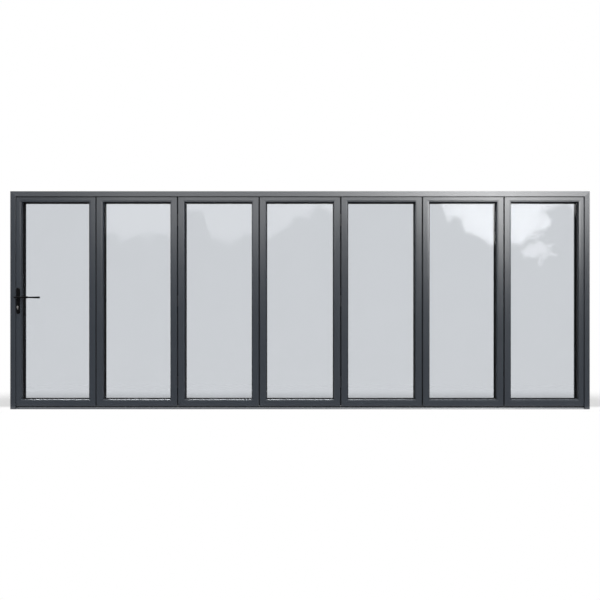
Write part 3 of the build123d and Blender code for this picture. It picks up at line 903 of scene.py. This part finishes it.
@dataclass
class LockSet:
    """Plates, levers, cylinder, faceplate and keeps of the access leaf."""

    shop: FittingShop
    handle_x: float = -2.720
    lever_z: float = 1.080
    cylinder_z: float = 0.988
    collar_profile: tuple[Span, ...] = (
        (0.0076, 0.0),
        (0.0112, 0.0),
        (0.0112, 0.0018),
        (0.0108, 0.00255),
        (0.0101, 0.0030),
        (0.0076, 0.0030),
    )
    ring_profile: tuple[Span, ...] = (
        (0.0058, -0.0004),
        (0.0070, -0.0004),
        (0.0069, 0.0004),
        (0.0066, 0.0006),
        (0.0059, 0.0004),
    )
    set_screw_reach: float = 0.018
    set_screw_drop: float = 0.0074
    set_screw_radius: float = 0.0022
    set_screw_height: float = 0.0005
    set_screw_socket: float = 0.0011
    lock_y: float = 0.004
    plate_screw_z: tuple[float, ...] = (0.936, 1.156)
    faceplate_screw_z: tuple[float, ...] = (0.204, 0.62, 0.93, 1.17, 1.47, 1.885)
    keep_z: tuple[float, ...] = (0.440, 1.080, 1.720)
    keep_screw_offset: float = 0.062
    face_turn: float = 0.4
    faceplate_turn: float = 0.7
    keep_turn: float = 0.8
    small_screw_radius: float = 0.0032
    small_screw_height: float = 0.0006
    small_recess_arm: float = 0.00176
    small_recess_half_width: float = 0.000448
    small_recess_floor: float = -0.0003

    PLATES: ClassVar[dict[Side, str]] = {Side.FRONT: "handle_plate_front", Side.BACK: "handle_plate_back"}

    def dress(self) -> None:
        """Gives the handles satin black and the lock satin nickel."""
        self.shop.finishes.dress((*self.PLATES.values(), "lever_front", "lever_back"), "handle_black")
        self.shop.finishes.dress(("lock_cylinder", "lock_faceplate", "lock_keeps"), "lock_metal")

    def face_seat(self, side: Side, z: float, node: str) -> Seat:
        """Seat on the outer face of a node, on the line of the handle.

        Args:
            side: Face that the seat is on.
            z: Height of the seat.
            node: Node whose outer face carries it.

        Returns:
            The seat.
        """
        low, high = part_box(node)
        y = low.y if side is Side.FRONT else high.y
        return Seat(Vector((self.handle_x, y, z)), Vector((0.0, side.value, 0.0)), self.face_turn)

    def small_screw(self) -> bmesh.types.BMesh:
        """Makes one small countersunk screw head."""
        recess = FittingShop.cross(self.small_recess_arm, self.small_recess_half_width)
        return FittingShop.recessed_head(
            self.small_screw_radius, self.small_screw_height, recess, self.small_recess_floor
        )

    def build_rings(self) -> None:
        """Collars where the levers leave their plates, and rings round the plug of the cylinder."""
        collar = FittingShop.turned(self.collar_profile)
        seats = [self.face_seat(side, self.lever_z, node) for side, node in self.PLATES.items()]
        self.shop.set_out("lever_collars", collar, seats, Body.ACCESS_LEAF, "handle_black")
        ring = FittingShop.turned(self.ring_profile)
        seats = [self.face_seat(side, self.cylinder_z, "lock_cylinder") for side in Side]
        self.shop.set_out("cylinder_rings", ring, seats, Body.ACCESS_LEAF, "lock_metal")

    def build_set_screws(self) -> None:
        """Socket screws in the undersides of the lever necks."""
        seats = []
        for side, node in self.PLATES.items():
            under = self.face_seat(side, self.lever_z - self.set_screw_drop, node)
            point = under.point + self.set_screw_reach * under.facing
            seats.append(Seat(point, Vector((0.0, 0.0, -1.0))))
        socket = FittingShop.hexagon(self.set_screw_socket)
        tall = self.set_screw_height
        screw = FittingShop.recessed_head(self.set_screw_radius, tall, socket, -tall)
        self.shop.set_out("lever_set_screws", screw, seats, Body.LEVER, "lock_metal")

    def build(self) -> None:
        """Makes the collars, rings and screws of the lock set."""
        self.build_rings()
        self.build_set_screws()
        back_plate = self.PLATES[Side.BACK]
        plate = [self.face_seat(Side.BACK, z, back_plate) for z in self.plate_screw_z]
        self.shop.set_out("plate_screws", self.small_screw(), plate, Body.ACCESS_LEAF, "handle_black")
        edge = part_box("leaf_1_frame")[0].x
        strip = [
            Seat(Vector((edge, self.lock_y, z)), Vector((-1.0, 0.0, 0.0)), self.faceplate_turn * index)
            for index, z in enumerate(self.faceplate_screw_z)
        ]
        self.shop.set_out("faceplate_screws", self.small_screw(), strip, Body.ACCESS_LEAF, "lock_metal")
        keep_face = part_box("lock_keeps")[1].x
        keeps = []
        for z in self.keep_z:
            for offset in (-self.keep_screw_offset, self.keep_screw_offset):
                point = Vector((keep_face, self.lock_y, z + offset))
                keeps.append(Seat(point, Vector((1.0, 0.0, 0.0)), self.keep_turn * len(keeps)))
        self.shop.set_out("keep_screws", self.small_screw(), keeps, Body.FRAME, "lock_metal")


@dataclass(frozen=True)
class Step:
    """A rise or fall of a curve between two places."""

    start: float
    end: float
    change: float


@dataclass(frozen=True)
class Patch:
    """A ragged patch of sky between clouds."""

    middle: Span
    reach: Span
    level: float
    tear: float


@dataclass
class Studio:
    """White studio: camera, floor and the soft light all round.

    The light on the camera's side is written on a plane one metre in front of a mirror: u is the
    distance to the right of the point that looks straight out, and v the distance above it.
    """

    white: Colour = (1.0, 1.0, 1.0)
    camera_place: tuple[float, float, float] = (0.0, -3.8957, 1.0543)
    lens: float = 24.0
    sensor: float = 36.0
    floor_side: Span = (3.0, 3.8)
    floor_level: float = -0.0005
    floor_front: Span = (-0.16, -0.05)
    floor_back: Span = (0.8, 1.1)
    # floor_shade and the two shadow fields below paint a darker band on the floor behind the door: a
    # painted shadow on top of the real shadow that the floor keeps.
    floor_shade: float = 0.24
    door_back: Span = (0.0, 0.1)
    painted_shadow_reach: Span = (0.30, 0.80)
    painted_shadow_white: float = 0.55
    room_level: float = 0.10
    least_ahead: float = 0.02
    sky_start: float = 2.0
    sky_steps: tuple[Step, ...] = (
        Step(-0.55, -0.42, 0.8),
        Step(-0.12, 0.05, 0.8),
        Step(0.08, 0.20, 1.4),
        Step(0.32, 0.42, 4.4),
        Step(0.58, 0.64, -4.6),
        Step(0.66, 0.90, -1.2),
        Step(1.2, 2.0, -3.6),
    )
    edge_start: float = 0.38
    edge_steps: tuple[Step, ...] = (
        Step(-0.54, -0.49, -0.225),
        Step(-0.31, -0.29, 0.07),
        Step(-0.25, -0.22, -0.07),
        Step(-0.10, 0.05, 0.07),
        Step(0.09, 0.15, 0.04),
        Step(0.33, 0.38, -0.07),
        Step(0.38, 0.50, -0.06),
        Step(0.53, 0.60, 0.030),
        Step(0.590, 0.604, 0.075),
        Step(0.665, 0.685, -0.035),
    )
    edge_softness: float = 0.012
    edge_tear: float = 0.10
    edge_tear_scale: float = 14.0
    edge_tear_layers: float = 4.0
    sky_patches: tuple[Patch, ...] = (
        Patch((0.602, 0.196), (0.016, 0.030), 7.5, 0.03),
        Patch((0.597, 0.127), (0.010, 0.040), 5.5, 0.12),
    )
    patch_tear_scale: float = 38.0
    patch_tear_layers: float = 3.0
    left_fade: Span = (0.24, 0.32)
    left_rest: float = 0.55
    left_end: Span = (0.05, 0.20)
    sky_top: Span = (0.7, 1.2)
    overhead: Span = (1.9, 2.0)
    overhead_side: Span = (-0.5, 0.6)
    overhead_rise: Span = (0.55, 0.95)
    rear_sky: float = 7.5
    rear_ground: float = 0.15
    rear_edge: Span = (-0.08, 0.18)
    rear_side: Span = (-0.05, 0.35)
    rear_low: float = 1.0
    rear_rise: Span = (0.50, 0.70)
    strip_near: Span = (0.32, 0.40)
    strip_far: Span = (0.58, 0.66)
    front_to_rear: Span = (-0.10, 0.10)
    backdrop_turn: Span = (0.90, 0.97)

    def build_camera(self) -> None:
        """Puts the camera level with the middle of the door, square to it."""
        data = bpy.data.cameras.new("camera")
        data.lens = self.lens
        data.sensor_width = self.sensor
        camera = bpy.data.objects.new("camera", data)
        camera.location = self.camera_place
        camera.rotation_euler = (math.radians(90.0), 0.0, 0.0)
        bpy.context.scene.collection.objects.link(camera)
        bpy.context.scene.camera = camera
        bpy.context.scene.view_settings.view_transform = "Standard"

    @staticmethod
    def curve(graph: NodeGraph, place: Socket, start: float, steps: Iterable[Step]) -> Socket:
        """Adds up a curve from its start and its steps.

        Args:
            graph: Graph of the world.
            place: Where the curve is read.
            start: Its value before the first step.
            steps: Its rises and falls.

        Returns:
            The value of the curve.
        """
        total = start
        for step in steps:
            total = graph.math("ADD", total, graph.ramp(place, step.start, step.end, 0.0, step.change))
        return total

    def front_light(self, graph: NodeGraph, across: Socket, toward: Socket, up: Socket) -> Socket:
        """Level of the light on the camera's side of the door.

        Args:
            graph: Graph of the world.
            across: X of the direction.
            toward: Share of the direction that points to the camera's side.
            up: Z of the direction.

        Returns:
            The level: a dim room under a torn skyline, with the brightest sky on the right.
        """
        ahead = graph.math("MAXIMUM", toward, self.least_ahead)
        u = graph.math("DIVIDE", across, ahead)
        v = graph.math("DIVIDE", up, ahead)
        plane = graph.add("ShaderNodeCombineXYZ", {0: u, 1: v}).outputs[0]
        tear = graph.swing(graph.noise(plane, self.edge_tear_scale, self.edge_tear_layers))
        edge = self.curve(graph, u, self.edge_start, self.edge_steps)
        above = graph.math("SUBTRACT", graph.math("MULTIPLY_ADD", tear, self.edge_tear, v), edge)
        open_sky = graph.ramp(above, -self.edge_softness, self.edge_softness)
        level = self.curve(graph, u, self.sky_start, self.sky_steps)
        left = graph.ramp(v, *self.left_fade, 1.0, self.left_rest)
        shaped = graph.mix_value(graph.ramp(u, *self.left_end), left, 1.0)
        fall = graph.ramp(v, *self.sky_top, 1.0, 0.0)
        shown = graph.math("MULTIPLY", open_sky, fall)
        sky = graph.math("MULTIPLY", graph.math("MULTIPLY", level, shaped), shown)
        ragged = graph.swing(graph.noise(plane, self.patch_tear_scale, self.patch_tear_layers))
        for patch in self.sky_patches:
            ends = {0: plane, 1: (*patch.middle, 0.0)}
            away = graph.add("ShaderNodeVectorMath", ends, operation="DISTANCE").outputs["Value"]
            torn = graph.math("MULTIPLY_ADD", ragged, patch.tear, away)
            sky = graph.math("MAXIMUM", sky, graph.ramp(torn, *patch.reach, patch.level, 0.0))
        return graph.math("ADD", sky, self.room_level)

    def build_world(self) -> None:
        """Lights the door all round and shows white to the camera and through glass."""
        world = bpy.data.worlds.new("studio")
        world.use_nodes = True
        bpy.context.scene.world = world
        graph = NodeGraph(world.node_tree)
        x, y, z = graph.split(graph.add("ShaderNodeTexCoord").outputs["Generated"])
        front = self.front_light(graph, x, graph.math("MULTIPLY", y, -1.0), z)
        top = graph.ramp(x, *self.overhead_side, *self.overhead)
        lit = graph.math("MULTIPLY_ADD", graph.ramp(z, *self.overhead_rise), top, front)
        low_sky = graph.ramp(z, *self.rear_edge, self.rear_ground, self.rear_low)
        strip_end = graph.ramp(y, *self.strip_far, 1.0, 0.0)
        strip = graph.math("MULTIPLY", graph.ramp(y, *self.strip_near), strip_end)
        high = graph.math("MULTIPLY", graph.ramp(z, *self.rear_rise), strip)
        sky = graph.mix_value(high, low_sky, self.rear_sky)
        rear = graph.mix_value(graph.ramp(x, *self.rear_side), sky, self.rear_ground)
        level = graph.mix_value(graph.ramp(y, *self.front_to_rear), lit, rear)
        mirrored = graph.add("ShaderNodeLightPath").outputs["Is Glossy Ray"]
        backdrop = graph.math("MULTIPLY", mirrored, graph.ramp(y, *self.backdrop_turn))
        seen = graph.math("MAXIMUM", self.seen_straight(graph), backdrop)
        light = {"Color": self.white, "Strength": graph.mix_value(seen, level, 1.0)}
        background = graph.add("ShaderNodeBackground", light)
        graph.add("ShaderNodeOutputWorld", {"Surface": background.outputs[0]})

    @staticmethod
    def seen_straight(graph: NodeGraph) -> Socket:
        """Mask of rays that come from the camera, also those that passed through glass.

        Args:
            graph: Graph of the world or the floor.

        Returns:
            1 for such rays and 0 for light that bounced off something first.
        """
        path = graph.add("ShaderNodeLightPath")
        bounces = graph.math("ADD", path.outputs["Diffuse Depth"], path.outputs["Glossy Depth"])
        unbounced = graph.math("LESS_THAN", bounces, 0.5)
        through = graph.math("MULTIPLY", path.outputs["Is Transmission Ray"], unbounced)
        return graph.math("MAXIMUM", path.outputs["Is Camera Ray"], through)

    def floor_material(self) -> bpy.types.Material:
        """Pale floor that keeps the object's shadow, with a painted shadow band behind the door, and fades
        into the white round it.

        Returns:
            The material.
        """
        material = bpy.data.materials.new("studio_floor")
        material.use_nodes = True
        graph = NodeGraph(material.node_tree)
        x, y, _ = graph.split(graph.surface_place())
        mirrored = graph.add("ShaderNodeLightPath").outputs["Is Glossy Ray"]
        ahead = graph.math("MULTIPLY", mirrored, graph.ramp(y, *self.door_back, 1.0, 0.0))
        seen = graph.math("MAXIMUM", self.seen_straight(graph), ahead)
        # Painted shadow: from door_back out to the shadow reach the floor's white share falls, so its dark
        # diffuse shade shows as a grey band behind the door, beyond the object's real shadow.
        shadow_end = graph.ramp(y, *self.painted_shadow_reach, 1.0, 0.0)
        shadow = graph.math("MULTIPLY", graph.ramp(y, *self.door_back), shadow_end)
        share = graph.mix_value(shadow, 1.0, self.painted_shadow_white)
        lit = graph.add("ShaderNodeBsdfDiffuse", {"Color": (self.floor_shade,) * 3}).outputs[0]
        white = graph.add("ShaderNodeEmission", {"Color": self.white}).outputs[0]
        paleness = graph.math("MULTIPLY", seen, share)
        pale = graph.add("ShaderNodeMixShader", {0: paleness, 1: lit, 2: white}).outputs[0]
        sides = graph.ramp(graph.math("ABSOLUTE", x), *self.floor_side, 1.0, 0.0)
        near = graph.ramp(y, *self.floor_front)
        far = graph.ramp(y, *self.floor_back, 1.0, 0.0)
        whole = graph.math("MULTIPLY", sides, graph.math("MULTIPLY", near, far))
        clear = graph.add("ShaderNodeBsdfTransparent").outputs[0]
        fade = graph.add("ShaderNodeMixShader", {0: whole, 1: clear, 2: pale}).outputs[0]
        graph.add("ShaderNodeOutputMaterial", {"Surface": fade})
        return material

    def build_floor(self) -> None:
        """Lays the floor just under the threshold."""
        mesh = bpy.data.meshes.new("studio_floor")
        wide, near, far = self.floor_side[1], self.floor_front[0], self.floor_back[1]
        corners = ((-wide, near), (wide, near), (wide, far), (-wide, far))
        mesh.from_pydata([(x, y, self.floor_level) for x, y in corners], [], [(0, 1, 2, 3)])
        mesh.materials.append(self.floor_material())
        floor = bpy.data.objects.new("studio_floor", mesh)
        bpy.context.scene.collection.objects.link(floor)


def main() -> None:
    """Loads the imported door, dresses it, adds its fittings and sets up the studio."""
    logging.basicConfig(level=logging.INFO, format="%(message)s")
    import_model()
    studio = Studio()
    studio.build_camera()
    studio.build_world()
    studio.build_floor()
    shop = FittingShop(FinishSet())
    outer_frame = OuterFrame(shop)
    hinges = Hinges(shop)
    lock_set = LockSet(shop)
    leaves = Leaves(shop)
    for assembly in (outer_frame, leaves, hinges, RunningGear(shop), lock_set):
        assembly.dress()
    for assembly in (outer_frame, leaves, hinges, lock_set):
        assembly.build()


if __name__ == "__main__":
    main()
